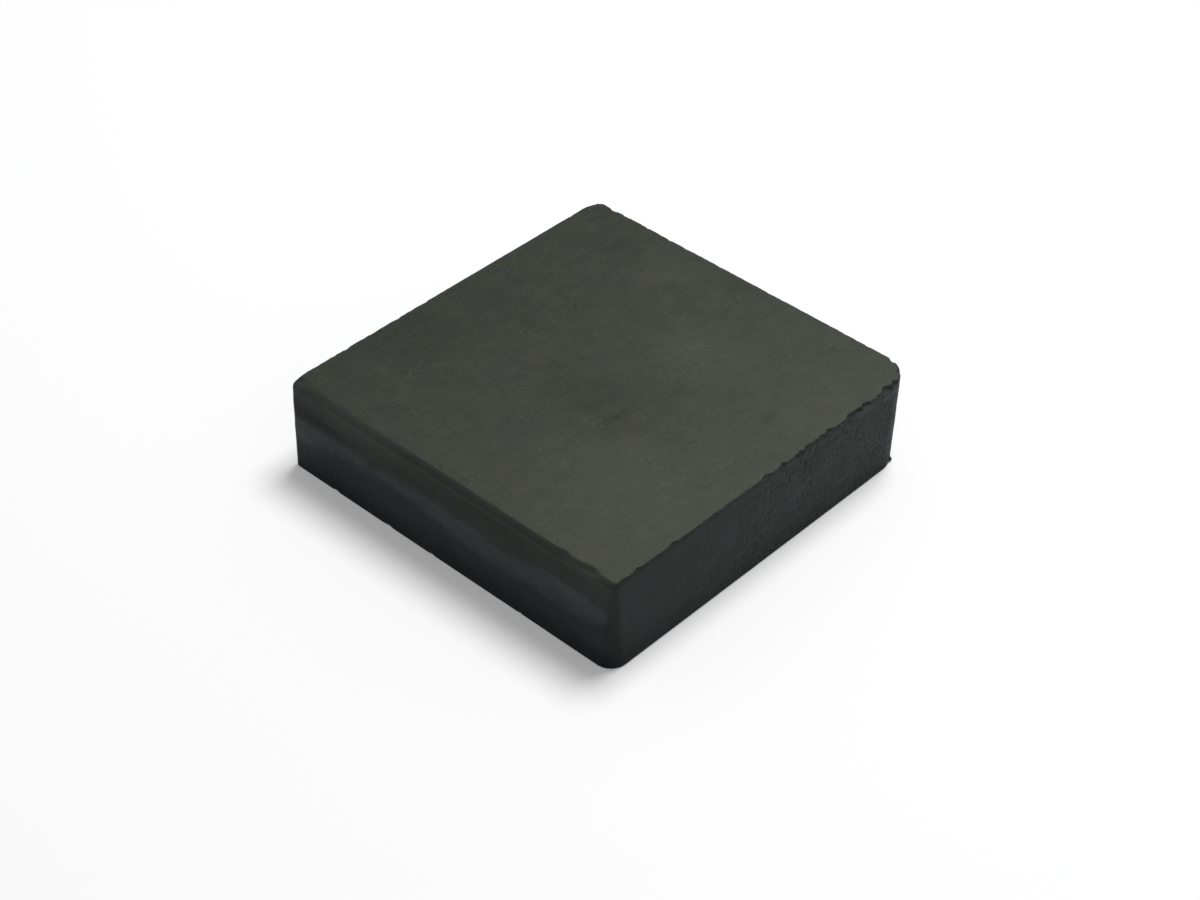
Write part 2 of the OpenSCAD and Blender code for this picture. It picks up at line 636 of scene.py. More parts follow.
    def chip(self, piece: bpy.types.Object) -> None:
        """Breaks the chips and pits out of the rubbed block, and leaves its burr.

        Args:
            piece: The block.
        """
        cutter = self.cutter()
        apply_modifier(
            piece,
            "BOOLEAN",
            {"object": cutter, "operation": "DIFFERENCE", "solver": "EXACT", "use_self": True},
        )
        bpy.data.objects.remove(cutter)
        self.raise_burr(piece)


@dataclass(frozen=True)
class Roughening:
    """One layer of unevenness that a procedural texture presses into the skin.

    Attributes:
        name: Name of the layer.
        group: Vertex group that limits it.
        grain: Size of its features.
        depth: Full height of the unevenness.
        level: Texture value that leaves the skin where it is.
        octaves: Depth of finer noise in it.
        contrast: Factor on the texture's swing about its middle; what falls below 0 is cut off.
        brightness: Brightness of the texture; below 1 more of it is cut off.
    """

    name: str
    group: str
    grain: float
    depth: float
    level: float
    octaves: int
    contrast: float = 1.0
    brightness: float = 1.0


@dataclass
class Skin:
    """Turns the worn block into one closed fine mesh and roughens its pressed skin.

    Attributes:
        body: Sizes of the sound block.
        voxel: Edge of the voxels that the block is rebuilt from.
        triangles: Triangles of the finished mesh.
        weight_steps: Steps between no weight and full weight in a vertex group.
        layers: Layers of roughness, coarse to fine.
        arris_reach: Distance from an upper arris over which it is crumbled.
        rubbed_reach: Distance from the upper arris at -Y over which rubbing has rounded it.
        rubbed_rounds: Rounds of smoothing that this rounding takes.
        smooth_angle: Largest angle, in degrees, that is shaded smooth.
    """

    body: PressedBody
    voxel: float = 0.1
    triangles: int = 190000
    weight_steps: int = 16
    layers: tuple[Roughening, ...] = (
        Roughening("kiln_waves", "sides", 5.0, 0.16, 0.5, 1),
        Roughening("pressed_grain", "sides", 0.9, 0.03, 0.5, 2),
        Roughening("fallen_grains", "pitted", 0.5, -0.08, 0.0, 2, 4.0, 0.0),
        Roughening("crumbled_arris", "arrises", 0.6, 0.13, 0.8, 3),
    )
    arris_reach: float = 0.4
    rubbed_reach: float = 2.0
    rubbed_rounds: int = 40
    smooth_angle: float = 32

    def rebuild(self, piece: bpy.types.Object) -> None:
        """Makes the block one closed mesh of even fine faces.

        Args:
            piece: The worn block.
        """
        apply_modifier(
            piece, "REMESH", {"mode": "VOXEL", "voxel_size": self.voxel * MM, "adaptivity": 0.0}
        )

    def weights(self, point: Vector) -> dict[str, float]:
        """Weight of each vertex group at a point.

        Args:
            point: Point on the skin.

        Returns:
            Weight by the name of the group.
        """
        offset = point - self.body.middle
        below = self.body.high.z - point.z
        to_pole = min(below, point.z - self.body.low.z)
        from_x = max(0.0, self.body.half.x - abs(offset.x))
        from_y = max(0.0, self.body.half.y - abs(offset.y))
        to_side = min(from_x, from_y)
        sides = min(1.0, max(0.0, (to_pole - 0.05) / 1.6)) if to_side < 3.5 else 0.0
        gathered = min(1.0, max(0.2, (point.y + 12) / 12))
        gathered *= min(1.0, max(0.3, (point.z - self.body.low.z - 1) / 2.5))
        pitted = min(1.0, to_pole / 0.8) * gathered * min(1.0, from_y) if from_x < 0.5 else 0.0
        rubbed = max(0.0, 1 - max(below, point.y - self.body.low.y) / self.rubbed_reach)
        arris = max(0.0, 1 - max(below, to_side) / self.arris_reach) * (1 - min(1, 4 * rubbed))
        return {"sides": sides, "pitted": pitted, "rubbed": min(1, 3 * rubbed), "arrises": arris}

    def mark_groups(self, piece: bpy.types.Object) -> None:
        """Gives the block the vertex groups that limit the layers.

        Args:
            piece: The rebuilt block.
        """
        members: dict[tuple[str, int], list[int]] = {}
        for vertex in piece.data.vertices:
            for name, weight in self.weights(vertex.co / MM).items():
                step = round(weight * self.weight_steps)
                if step:
                    members.setdefault((name, step), []).append(vertex.index)
        for (name, step), indices in sorted(members.items()):
            group = piece.vertex_groups.get(name) or piece.vertex_groups.new(name=name)
            group.add(indices, step / self.weight_steps, "REPLACE")

    def roughen(self, piece: bpy.types.Object) -> None:
        """Presses each layer of roughness into the skin.

        Args:
            piece: The rebuilt block, with its vertex groups.
        """
        for layer in self.layers:
            texture = bpy.data.textures.new(layer.name, "CLOUDS")
            texture.noise_scale = layer.grain * MM
            texture.noise_depth = layer.octaves
            texture.contrast = layer.contrast
            texture.intensity = layer.brightness
            texture.use_clamp = True
            apply_modifier(
                piece,
                "DISPLACE",
                {
                    "texture": texture,
                    "texture_coords": "LOCAL",
                    "vertex_group": layer.group,
                    "strength": layer.depth * MM,
                    "mid_level": layer.level,
                },
            )

    def thin(self, piece: bpy.types.Object) -> None:
        """Brings the mesh down to its number of triangles; flat faces lose the most.

        Args:
            piece: The roughened block.
        """
        apply_modifier(piece, "TRIANGULATE", {"quad_method": "SHORTEST_DIAGONAL"})
        share = self.triangles / len(piece.data.polygons)
        apply_modifier(piece, "DECIMATE", {"ratio": share})
        piece.vertex_groups.clear()

    def smooth(self, piece: bpy.types.Object) -> None:
        """Shades the mesh smooth up to an angle, with large faces leading the normals.

        Args:
            piece: The finished mesh.
        """
        clear_selection()
        bpy.context.view_layer.objects.active = piece
        piece.select_set(True)
        bpy.ops.object.shade_smooth_by_angle(angle=math.radians(self.smooth_angle))
        apply_modifier(piece, "WEIGHTED_NORMAL", {"mode": "FACE_AREA", "keep_sharp": True})

    def apply_to(self, piece: bpy.types.Object) -> None:
        """Gives the worn block its skin.

        Args:
            piece: The worn block.
        """
        self.rebuild(piece)
        self.mark_groups(piece)
        apply_modifier(
            piece,
            "SMOOTH",
            {"vertex_group": "rubbed", "iterations": self.rubbed_rounds, "factor": 0.5},
        )
        self.roughen(piece)
        self.thin(piece)
        self.smooth(piece)


class FinishSheet:
    """Node sheet of one finish, with what every finish of the ferrite shares.

    Attributes:
        material: Material that the sheet belongs to.
        tree: Its node tree.
        place: Socket of the Object coordinates in millimetres.
    """

    def __init__(self, name: str) -> None:
        """Starts an empty material with its coordinates in millimetres.

        Args:
            name: Name of the material.
        """
        self.material = bpy.data.materials.new(name)
        self.material.use_nodes = True
        self.tree = self.material.node_tree
        self.tree.nodes.clear()
        coordinates = self.add("TexCoord").outputs["Object"]
        scaled = self.add(
            "VectorMath", {"operation": "SCALE", "Scale": 1 / MM}, {"Vector": coordinates}
        )
        self.place = scaled.outputs["Vector"]

    def add(
        self,
        kind: str,
        settings: Union[dict[Key, object], None] = None,
        links: Union[dict[Key, bpy.types.NodeSocket], None] = None,
    ) -> bpy.types.Node:
        """Adds one node to this sheet; add_node says what the arguments are."""
        return add_node(self.tree, kind, settings or {}, links or {})

    def speckle(
        self, grain: float, stretch: Point = (1, 1, 1), octaves: float = 3, shift: float = 0
    ) -> bpy.types.NodeSocket:
        """Noise with features of a real size, centred on zero.

        Args:
            grain: Size of the features.
            stretch: How much longer they are along each axis.
            octaves: Octaves of finer noise.
            shift: Distance that the pattern is moved by, to pick another stretch of it.

        Returns:
            Socket that runs from about -0.5 to 0.5.
        """
        mapping = self.add(
            "Mapping",
            {"Location": (shift, shift, shift), "Scale": [1 / (grain * s) for s in stretch]},
            {"Vector": self.place},
        )
        noise = self.add(
            "TexNoise",
            {"Scale": 1.0, "Detail": octaves, "Roughness": 0.6},
            {"Vector": mapping.outputs[0]},
        )
        centred = self.add("Math", {"operation": "SUBTRACT", 1: 0.5}, {0: noise.outputs["Fac"]})
        return centred.outputs[0]

    def between(
        self, socket: bpy.types.NodeSocket, start: float, end: float
    ) -> bpy.types.NodeSocket:
        """Soft step from 0 at one value of a socket to 1 at another."""
        step = self.add(
            "MapRange", {"interpolation_type": "SMOOTHSTEP", 1: start, 2: end}, {0: socket}
        )
        return step.outputs[0]

    def product(
        self, first: bpy.types.NodeSocket, second: bpy.types.NodeSocket
    ) -> bpy.types.NodeSocket:
        """Product of two sockets."""
        return self.add("Math", {"operation": "MULTIPLY"}, {0: first, 1: second}).outputs[0]

    def flecks(
        self, grain: float, share: float, stretch: Point = (1, 1, 1), shift: float = 0
    ) -> bpy.types.NodeSocket:
        """Uneven marks of a real size, gathered in loose clusters.

        Args:
            grain: Size of a mark.
            share: Rough share of the surface that the marks cover, up to about 0.3.
            stretch: How much longer they are along each axis.
            shift: Distance that the pattern is moved by, to pick another stretch of it.

        Returns:
            Socket that is 1 inside a mark and 0 outside.
        """
        edge = 0.3 - 1.1 * share
        clusters = self.speckle(9 * grain, octaves=1, shift=shift + 7.0)
        noise = self.speckle(grain, stretch=stretch, octaves=1, shift=shift)
        gathered = self.total(0.0, [(noise, 1.0), (clusters, 0.45)])
        return self.between(gathered, edge - 0.06, edge + 0.06)

    def along_x(self, points: Sequence[tuple[float, float]], top: float) -> bpy.types.NodeSocket:
        """Value that follows the X coordinate by a smooth curve.

        Args:
            points: Pairs of X coordinate and value, from left to right.
            top: Value that the curve's own 1 stands for.

        Returns:
            Socket of the value.
        """
        first, last = points[0][0], points[-1][0]
        parts = self.add("SeparateXYZ", {}, {0: self.place})
        share = self.add("MapRange", {1: first, 2: last}, {0: parts.outputs[0]})
        curve = self.add(
            "FloatCurve",
            {"curve": [((x - first) / (last - first), value / top) for x, value in points]},
            {"Value": share.outputs[0]},
        )
        return self.total(0.0, [(curve.outputs[0], top)])

    def blob(self, centre: Point, reach: Point) -> bpy.types.NodeSocket:
        """Soft patch round one point.

        Args:
            centre: Middle of the patch.
            reach: Distance along each axis at which it has faded out.

        Returns:
            Socket that is 1 in the middle and fades to 0.
        """
        mapping = self.add(
            "Mapping",
            {
                "Location": [-c / r for c, r in zip(centre, reach)],
                "Scale": [1 / r for r in reach],
            },
            {"Vector": self.place},
        )
        ball = self.add(
            "TexGradient", {"gradient_type": "SPHERICAL"}, {"Vector": mapping.outputs[0]}
        )
        soft = self.add(
            "MapRange", {"interpolation_type": "SMOOTHSTEP"}, {0: ball.outputs["Fac"]}
        )
        return soft.outputs[0]

    def total(
        self, base: float, parts: Sequence[tuple[bpy.types.NodeSocket, float]]
    ) -> bpy.types.NodeSocket:
        """Sum of several sockets, each with its weight.

        Args:
            base: Number that the sum starts from.
            parts: Pairs of socket and weight.

        Returns:
            Socket of the sum.
        """
        links: dict[Key, bpy.types.NodeSocket] = {}
        running: Union[bpy.types.NodeSocket, None] = None
        for socket, weight in parts:
            links = {0: socket}
            settings: dict[Key, object] = {"operation": "MULTIPLY_ADD", 1: weight}
            if running is None:
                settings[2] = base
            else:
                links[2] = running
            running = self.add("Math", settings, links).outputs[0]
        return running

    def mixed(
        self,
        first: Union[str, bpy.types.NodeSocket],
        second: Union[str, bpy.types.NodeSocket],
        share: bpy.types.NodeSocket,
    ) -> bpy.types.NodeSocket:
        """Mix of two colours.

        Args:
            first: Hex colour or socket at share 0.
            second: Hex colour or socket at share 1.
            share: Socket that mixes them.

        Returns:
            Socket of the mixed colour.
        """
        settings: dict[Key, object] = {"data_type": "RGBA"}
        links: dict[Key, bpy.types.NodeSocket] = {0: share}
        for number, colour in ((6, first), (7, second)):
            if isinstance(colour, str):
                settings[number] = linear(colour)
            else:
                links[number] = colour
        return self.add("Mix", settings, links).outputs[2]

    def finish(
        self,
        colour: bpy.types.NodeSocket,
        tone: bpy.types.NodeSocket,
        relief: bpy.types.NodeSocket,
        relief_height: float,
        roughness: float,
        specular: float,
        ior: float,
    ) -> bpy.types.Material:
        """Closes the sheet with its surface shader.

        Args:
            colour: Colour of the surface.
            tone: Factor on that colour.
            relief: Height of the fine relief, where 1 is relief_height.
            relief_height: Height that the relief stands for.
            roughness: Roughness of the surface.
            specular: Level of its gloss, where 0.5 is that of the IOR.
            ior: Index of refraction.

        Returns:
            The finished material.
        """
        shaded = self.add("VectorMath", {"operation": "SCALE"}, {0: colour, "Scale": tone})
        bump = self.add(
            "Bump", {"Strength": 1.0, "Distance": relief_height * MM}, {"Height": relief}
        )
        surface = self.add(
            "BsdfPrincipled",
            {
                "Roughness": roughness,
                "Specular IOR Level": specular,
                "IOR": ior,
                "Metallic": 0.0,
            },
            {"Base Color": shaded.outputs[0], "Normal": bump.outputs[0]},
        )
        self.add("OutputMaterial", {}, {"Surface": surface.outputs[0]})
        return self.material


@dataclass(frozen=True)
class GroundPoleFace:
    """Sintered strontium ferrite, ground: a dull olive grey with soft clouds, fine pits and specks.

    Attributes:
        olive: Colour of most of the face.
        rust: Warmer colour that it clouds into.
        slate: Cooler colour that it clouds into.
        cloud: Size of the clouds.
        mottle: Size of the mottling, a few powder granules wide.
        grain: Size of the ground grain, drawn coarser than its real 0.02 mm so that it shows.
        sheen_fall: Change of tone over 1 mm along X; painted sheen and light falloff that make the
            face lighter towards +X.
        patches: Soft lighter and darker patches of the face: middle, reach and change of tone.
        roughness: Roughness of the ground face.
        specular: Level of its gloss.
        ior: Index of refraction.
    """

    olive: str = "#373b32"
    rust: str = "#3c3934"
    slate: str = "#353a36"
    cloud: float = 6.0
    mottle: float = 1.3
    grain: float = 0.3
    # Painted sheen: the pole face's tone rises along X.
    sheen_fall: float = 0.0155
    patches: tuple[tuple[Point, Point, float], ...] = (
        ((12, -10, 10), (13, 11, 6), 0.20),
        ((4, 8.5, 10), (8, 6, 6), 0.26),
        ((17, 9, 10), (8, 9, 6), 0.12),
        ((2, -3, 10), (12, 5.5, 6), -0.22),
        ((-17, -8, 10), (9, 8, 6), -0.12),
        ((-13, 1, 10), (9, 5, 6), -0.10),
        ((-7, 16, 10), (6, 6, 6), 0.14),
        ((-13, 15.5, 10), (4, 3.5, 6), -0.12),
        ((0.5, 18.5, 10), (3.5, 3, 6), -0.16),
        ((5.0, -3.6, 10), (0.9, 2.8, 3), -0.26),
        ((14.8, 5.7, 10), (0.9, 2.0, 3), -0.34),
        ((6.5, 2.5, 10), (3.0, 3.0, 3), -0.10),
    )
    roughness: float = 0.55
    specular: float = 0.10
    ior: float = 1.5

    def material(self) -> bpy.types.Material:
        """Builds the material.

        Returns:
            The material of both pole faces.
        """
        sheet = FinishSheet("ground_ferrite_pole_face")
        axes = sheet.add("SeparateXYZ", {}, {0: sheet.place})
        clouds = sheet.speckle(self.cloud, octaves=2, shift=3.1)
        cool_clouds = sheet.speckle(self.cloud, octaves=2, shift=11.3)
        mottling = sheet.speckle(self.mottle, stretch=(1, 1.6, 1), octaves=3)
        grain = sheet.speckle(self.grain, octaves=2)
        lines = sheet.speckle(0.25, stretch=(1, 14, 1), octaves=2)
        # Dark pits: painted shade inside the pores, along with their bump.
        pits = sheet.flecks(0.4, 0.08, stretch=(1, 1.5, 1))
        bright = sheet.flecks(0.38, 0.08, stretch=(1, 1.3, 1), shift=0.5)
        warm_share = sheet.total(0.1, [(clouds, 1.1), (mottling, 0.6)])
        cool_share = sheet.total(0.1, [(cool_clouds, 1.1), (mottling, -0.6)])
        warmed = sheet.mixed(self.olive, self.rust, warm_share)
        colour = sheet.mixed(warmed, self.slate, cool_share)
        parts = [
            # Painted sheen and light falloff, lighter towards +X.
            (axes.outputs[0], self.sheen_fall),
            (clouds, 0.08),
            (mottling, 0.55),
            (grain, 0.5),
            (lines, 0.35),
            (pits, -0.20),
            (bright, 0.26),
        ]
        parts += [(sheet.blob(middle, reach), change) for middle, reach, change in self.patches]
        tone = sheet.total(1.1, parts)
        relief = sheet.total(0.5, [(grain, 0.35), (lines, 0.3), (pits, -0.9), (mottling, 0.3)])
        return sheet.finish(
            colour, tone, relief, 0.03, self.roughness, self.specular, self.ior
        )


@dataclass(frozen=True)
class PressedSide:
    """Sintered strontium ferrite as pressed and fired: a blue-grey skin, darker than a ground face.

    The sides that face Y show a wavy lighter band at mid-height, partly a lighter skin and partly
    painted sheen of a slight ledge that leans up into the light; the sides that face X are mottled
    and full of fine pits.

    Attributes:
        low: Colour of the banded sides below the band.
        low_brown: Colour that it clouds into.
        band: Colour of the light band, partly a lighter skin and partly painted sheen.
        upper: Colour above the band.
        worn: Colour of the rubbed strip under the upper arris.
        pitted: Colour of the pitted sides.
        pitted_blue: Colour that they are mottled with.
        band_bottom: Height of the band's lower edge, by its X coordinate.
        band_top: Height of the band's upper edge, by its X coordinate.
        tone_patches_and_painted_light: Soft patches of the banded sides: middle, reach and change
            of tone. Some are painted shadow above the band, one is a painted highlight on the worn
            left corner and one is painted light that fills the shade line under the rubbed strip.
        patches_and_lit_facets: Soft patches of the pitted sides: middle, reach and change of tone;
            the first two are painted highlights on spalled facets under the chips.
        roughness: Roughness of the skin.
        specular: Level of its gloss.
        ior: Index of refraction.
    """

    low: str = "#202427"
    low_brown: str = "#242424"
    # Partly painted sheen: the band stands for a ledge that leans up into the light.
    band: str = "#323537"
    upper: str = "#272b28"
    worn: str = "#292b29"
    pitted: str = "#292d2b"
    pitted_blue: str = "#2a2c31"
    band_bottom: tuple[tuple[float, float], ...] = (
        (-20, 3.4), (-17, 3.9), (-14, 4.8), (-10, 5.3), (-6, 5.2), (-2, 4.7), (2, 4.0),
        (7, 3.8), (11, 4.3), (15, 4.5), (18.4, 4.9), (19.4, 6.0), (20, 6.4),
    )
    band_top: tuple[tuple[float, float], ...] = (
        (-20, 5.8), (-18, 6.4), (-14.5, 6.3), (-10, 6.3), (-6.5, 6.5), (-2, 6.7), (3, 6.7),
        (7, 6.2), (9.5, 6.9), (13, 7.2), (17, 7.1), (19.2, 6.5), (20, 5.8),
    )
    tone_patches_and_painted_light: tuple[tuple[Point, Point, float], ...] = (
        ((-11.5, 0, 9.2), (10, 400, 2.2), 0.60),
        # Painted shadow: this row and the next four darken the skin just above the band, under a
        # ledge.
        ((-18.5, 0, 7.15), (6.5, 400, 1.35), -0.80),
        ((-16.0, 0, 7.5), (3.0, 400, 0.8), -0.25),
        ((-3.0, 0, 7.3), (5, 400, 0.9), -0.18),
        ((7.5, 0, 8.2), (4, 400, 1.5), -0.20),
        ((1.5, 0, 8.0), (4, 400, 0.7), -0.12),
        ((18.5, 0, 8.8), (5, 400, 2.5), 0.20),
        ((16.3, 0, 9.7), (3.5, 400, 0.9), 0.45),
        ((-19, 0, 5.0), (5, 400, 2.2), 0.18),
        ((15.5, 0, 6.3), (6, 400, 1.5), 0.22),
        ((1.0, 0, 5.6), (5, 400, 1.2), 0.10),
        ((-12, 0, 2.8), (9, 400, 1.5), -0.10),
        # Painted shadow above the band, under a ledge.
        ((-13.5, 0, 7.0), (4, 400, 0.9), -0.36),
        # Painted highlight on the worn facet at the left corner, under the upper arris.
        ((-19.6, 0, 9.9), (2.6, 400, 0.9), 0.45),
        # Painted light that fills the shade line where the rubbed strip meets the side.
        ((0, -20, 9.33), (400, 20, 0.38), 0.36),
    )
    patches_and_lit_facets: tuple[tuple[Point, Point, float], ...] = (
        # Painted highlights: this row and the next light the spalled facets under the chips, which
        # face up into the light.
        ((0, 12.8, 9.4), (400, 2.4, 0.6), 1.00),
        ((0, 16.4, 9.1), (400, 1.8, 0.8), 0.90),
        ((0, 2, 6.5), (400, 7, 3.0), 0.15),
        ((0, 9, 8.2), (400, 4, 2.0), 0.15),
        ((0, -19, 2.5), (400, 5, 3.5), -0.12),
        ((0, -12, 1.2), (400, 8, 1.4), -0.12),
        ((0, 17, 0.6), (400, 6, 2.2), -0.34),
        ((0, 7, 0.6), (400, 9, 1.8), -0.26),
        ((0, -18, 0.8), (400, 5, 1.8), -0.25),
        ((0, 5, 9.4), (400, 7, 0.9), 0.22),
    )
    roughness: float = 0.6
    specular: float = 0.10
    ior: float = 1.5

    def patches(
        self, sheet: FinishSheet, rows: Sequence[tuple[Point, Point, float]]
    ) -> list[tuple[bpy.types.NodeSocket, float]]:
        """Soft patches, ready for a sum.

        Args:
            sheet: Node sheet of the finish.
            rows: Middle, reach and change of tone of each.

        Returns:
            Pairs of socket and weight.
        """
        return [(sheet.blob(middle, reach), change) for middle, reach, change in rows]

    def banded(
        self, sheet: FinishSheet, height: bpy.types.NodeSocket
    ) -> tuple[bpy.types.NodeSocket, bpy.types.NodeSocket]:
        """Colour and tone of the sides that face Y.

        Args:
            sheet: Node sheet of the finish.
            height: Height above the lower pole face.

        Returns:
            Socket of the colour and socket of the tone.
        """
        ragged = sheet.speckle(1.3, stretch=(1.8, 1.8, 1), octaves=3)
        streaks = sheet.speckle(2.4, stretch=(3, 3, 0.5), octaves=2, shift=4.0)
        bottom = sheet.along_x(self.band_bottom, 10)
        top = sheet.along_x(self.band_top, 10)
        over_bottom = sheet.total(0.0, [(height, 1), (bottom, -1), (ragged, 1.6)])
        under_top = sheet.total(0.0, [(height, -1), (top, 1), (ragged, 1.3)])
        in_band = sheet.product(
            sheet.between(over_bottom, -0.7, 0.7), sheet.between(under_top, -0.15, 0.45)
        )
        brown = sheet.total(0.2, [(streaks, 3.0)])
        low = sheet.mixed(self.low, self.low_brown, brown)
        ground = sheet.mixed(low, self.upper, sheet.between(over_bottom, 0.0, 1.0))
        # The band: a lighter skin with painted sheen where the skin leans up into the light.
        colour = sheet.mixed(ground, self.band, in_band)
        strip = sheet.between(sheet.total(0.0, [(height, 1), (ragged, 1.2)]), 9.0, 9.7)
        colour = sheet.mixed(colour, self.worn, strip)
        rise = sheet.between(height, 0.3, 3.6)
        lift = sheet.between(height, 8.3, 9.8)
        parts = [(rise, 0.5), (lift, 0.2), (ragged, 0.4), (streaks, 0.45)]
        return colour, sheet.total(0.5, parts + self.patches(sheet, self.tone_patches_and_painted_light))

    def mottled(
        self, sheet: FinishSheet, axes: bpy.types.Node
    ) -> tuple[bpy.types.NodeSocket, bpy.types.NodeSocket]:
        """Colour and tone of the sides that face X.

        Args:
            sheet: Node sheet of the finish.
            axes: Node that holds the coordinates.

        Returns:
            Socket of the colour and socket of the tone.
        """
        blotches = sheet.speckle(3.2, octaves=3, shift=5.0)
        share = sheet.total(0.15, [(blotches, 3.0)])
        colour = sheet.mixed(self.pitted, self.pitted_blue, share)
        rise = sheet.between(axes.outputs[2], 0.2, 4.5)
        parts = [(axes.outputs[1], 0.014), (rise, 0.3), (blotches, 0.3)]
        return colour, sheet.total(0.75, parts + self.patches(sheet, self.patches_and_lit_facets))

    def material(self) -> bpy.types.Material:
        """Builds the material.

        Returns:
            The material of the four sides.
        """
        sheet = FinishSheet("pressed_ferrite_side")
        axes = sheet.add("SeparateXYZ", {}, {0: sheet.place})
        across = sheet.add("Math", {"operation": "ABSOLUTE"}, {0: axes.outputs[0]})
        along = sheet.add("Math", {"operation": "ABSOLUTE"}, {0: axes.outputs[1]})
        excess = sheet.total(0.0, [(across.outputs[0], 1), (along.outputs[0], -1)])
        facing_x = sheet.between(excess, -0.5, 0.5)
        banded_colour, banded_tone = self.banded(sheet, axes.outputs[2])
        pitted_colour, pitted_tone = self.mottled(sheet, axes)
        colour = sheet.mixed(banded_colour, pitted_colour, facing_x)
        tones = sheet.add(
            "Mix", {"data_type": "FLOAT"}, {0: facing_x, 2: banded_tone, 3: pitted_tone}
        )
        mottling = sheet.speckle(0.8, octaves=4)
        grain = sheet.speckle(0.28, octaves=2)
        gathered = sheet.product(facing_x, sheet.between(axes.outputs[1], -16, 2))
        # Dark pits: painted shade inside the pits, along with their bump.
        pits = sheet.product(sheet.flecks(0.45, 0.20), gathered)
        bright = sheet.product(sheet.flecks(0.42, 0.16, shift=0.4), gathered)
        tone = sheet.total(
            0.0,
            [(tones.outputs[0], 1), (mottling, 0.3), (grain, 0.25), (pits, -0.46), (bright, 0.48)],
        )
        relief = sheet.total(0.5, [(mottling, 0.6), (grain, 0.3), (pits, -0.6)])
        return sheet.finish(
            colour, tone, relief, 0.04, self.roughness, self.specular, self.ior
        )


@dataclass(frozen=True)
class BrokenArris:
    """Broken sintered ferrite: granular and dark, with a few lighter facets of a violet cast.

    Attributes:
        face: Colour of the lighter facets.
        dark_and_rim_shade: Dark colour of the break, and painted shade under the rim of the upper
            pole face, in the hollows that the rim overhangs.
        rim: Heights between which the painted shade under the rim comes in.
        roughness: Roughness of the break.
        specular: Level of its gloss.
        ior: Index of refraction.
    """

    face: str = "#414044"
    # Dark break colour, also used as painted shade under the upper rim.
    dark_and_rim_shade: str = "#1c1d1b"
    rim: tuple[float, float] = (9.45, 9.85)
    roughness: float = 0.6
    specular: float = 0.12
    ior: float = 1.5

    def material(self) -> bpy.types.Material:
        """Builds the material.

        Returns:
            The material of every broken place.
        """
        sheet = FinishSheet("broken_ferrite_arris")
        patches = sheet.speckle(0.9, octaves=3, shift=1.7)
        grain = sheet.speckle(0.22, octaves=3)
        axes = sheet.add("SeparateXYZ", {}, {0: sheet.place})
        # Painted shade: the break darkens just under the upper pole face's rim, in its shadow.
        under_rim_shade = sheet.between(axes.outputs[2], *self.rim)
        share = sheet.total(0.1, [(under_rim_shade, 0.8), (patches, 2.0)])
        colour = sheet.mixed(self.face, self.dark_and_rim_shade, share)
        tone = sheet.total(1.0, [(patches, 0.3), (grain, 0.6)])
        relief = sheet.total(0.5, [(patches, 0.3), (grain, 0.9)])
        return sheet.finish(
            colour, tone, relief, 0.07, self.roughness, self.specular, self.ior
        )


@dataclass
class BlockMagnet:
    """The whole magnet: its body, its wear, its skin and its finishes.

    Attributes:
        body: Sizes of the sound block.
        wear: Breaks and worn places.
        skin: Fine mesh of the skin.
        finishes: Finish of the pole faces, of the sides and of the breaks, in slot order.
        arris_reach: Distance from a pole face within which the sides break rather than wear.
        sound_depth: Depth below the sound skin up to which a face there counts as unbroken.
        worn_depth: The same farther down the sides and along the rubbed upper edge at -Y.
        flat_slope: Least upward part of a pole face's normal.
    """

    body: PressedBody
    wear: EdgeWear = field(init=False)
    skin: Skin = field(init=False)
    finishes: tuple[object, ...] = (GroundPoleFace(), PressedSide(), BrokenArris())
    arris_reach: float = 1.2
    sound_depth: float = 0.09
    worn_depth: float = 0.3
    flat_slope: float = 0.98

    def __post_init__(self) -> None:
        """Plans the wear and the skin round the body."""
        self.wear = EdgeWear(self.body)
        self.skin = Skin(self.body)

    def build(self) -> bpy.types.Object:
        """Makes the magnet's mesh and dresses it.

        Returns:
            The finished piece.
        """
        piece = self.body.build()
        self.wear.rub_flats(piece)
        sound = bmesh.new()
        sound.from_mesh(piece.data)
        sound_tree = BVHTree.FromBMesh(sound)
        sound.free()
        self.wear.chip(piece)
        self.skin.apply_to(piece)
        self.dress(piece, sound_tree)
        return piece

    def finish_number(self, face: bpy.types.MeshPolygon, sound: BVHTree) -> int:
        """Which finish one face of the mesh gets.

        Args:
            face: The face.
            sound: Search tree of the sound block's skin.

        Returns:
            0 for a pole face, 1 for a side, 2 for a break.
        """
        height = face.center.z / MM
        near_pole = min(abs(height - self.body.high.z), abs(height - self.body.low.z)) < 0.03
        if near_pole and abs(face.normal.z) > self.flat_slope:
            return 0
        depth = sound.find_nearest(face.center)[3] / MM
        rubbed = height > self.body.high.z - 2 and face.center.y / MM < self.body.low.y + 2
        at_arris = min(self.body.high.z - height, height - self.body.low.z) < self.arris_reach
        limit = self.sound_depth if at_arris and not rubbed else self.worn_depth
        return 2 if depth > limit else 1

    def dress(self, piece: bpy.types.Object, sound: BVHTree) -> None:
        """Gives every face its finish.

        Args:
            piece: The finished mesh.
            sound: Search tree of the sound block's skin.
        """
        for finish in self.finishes:
            piece.data.materials.append(finish.material())
        for face in piece.data.polygons:
            face.material_index = self.finish_number(face, sound)


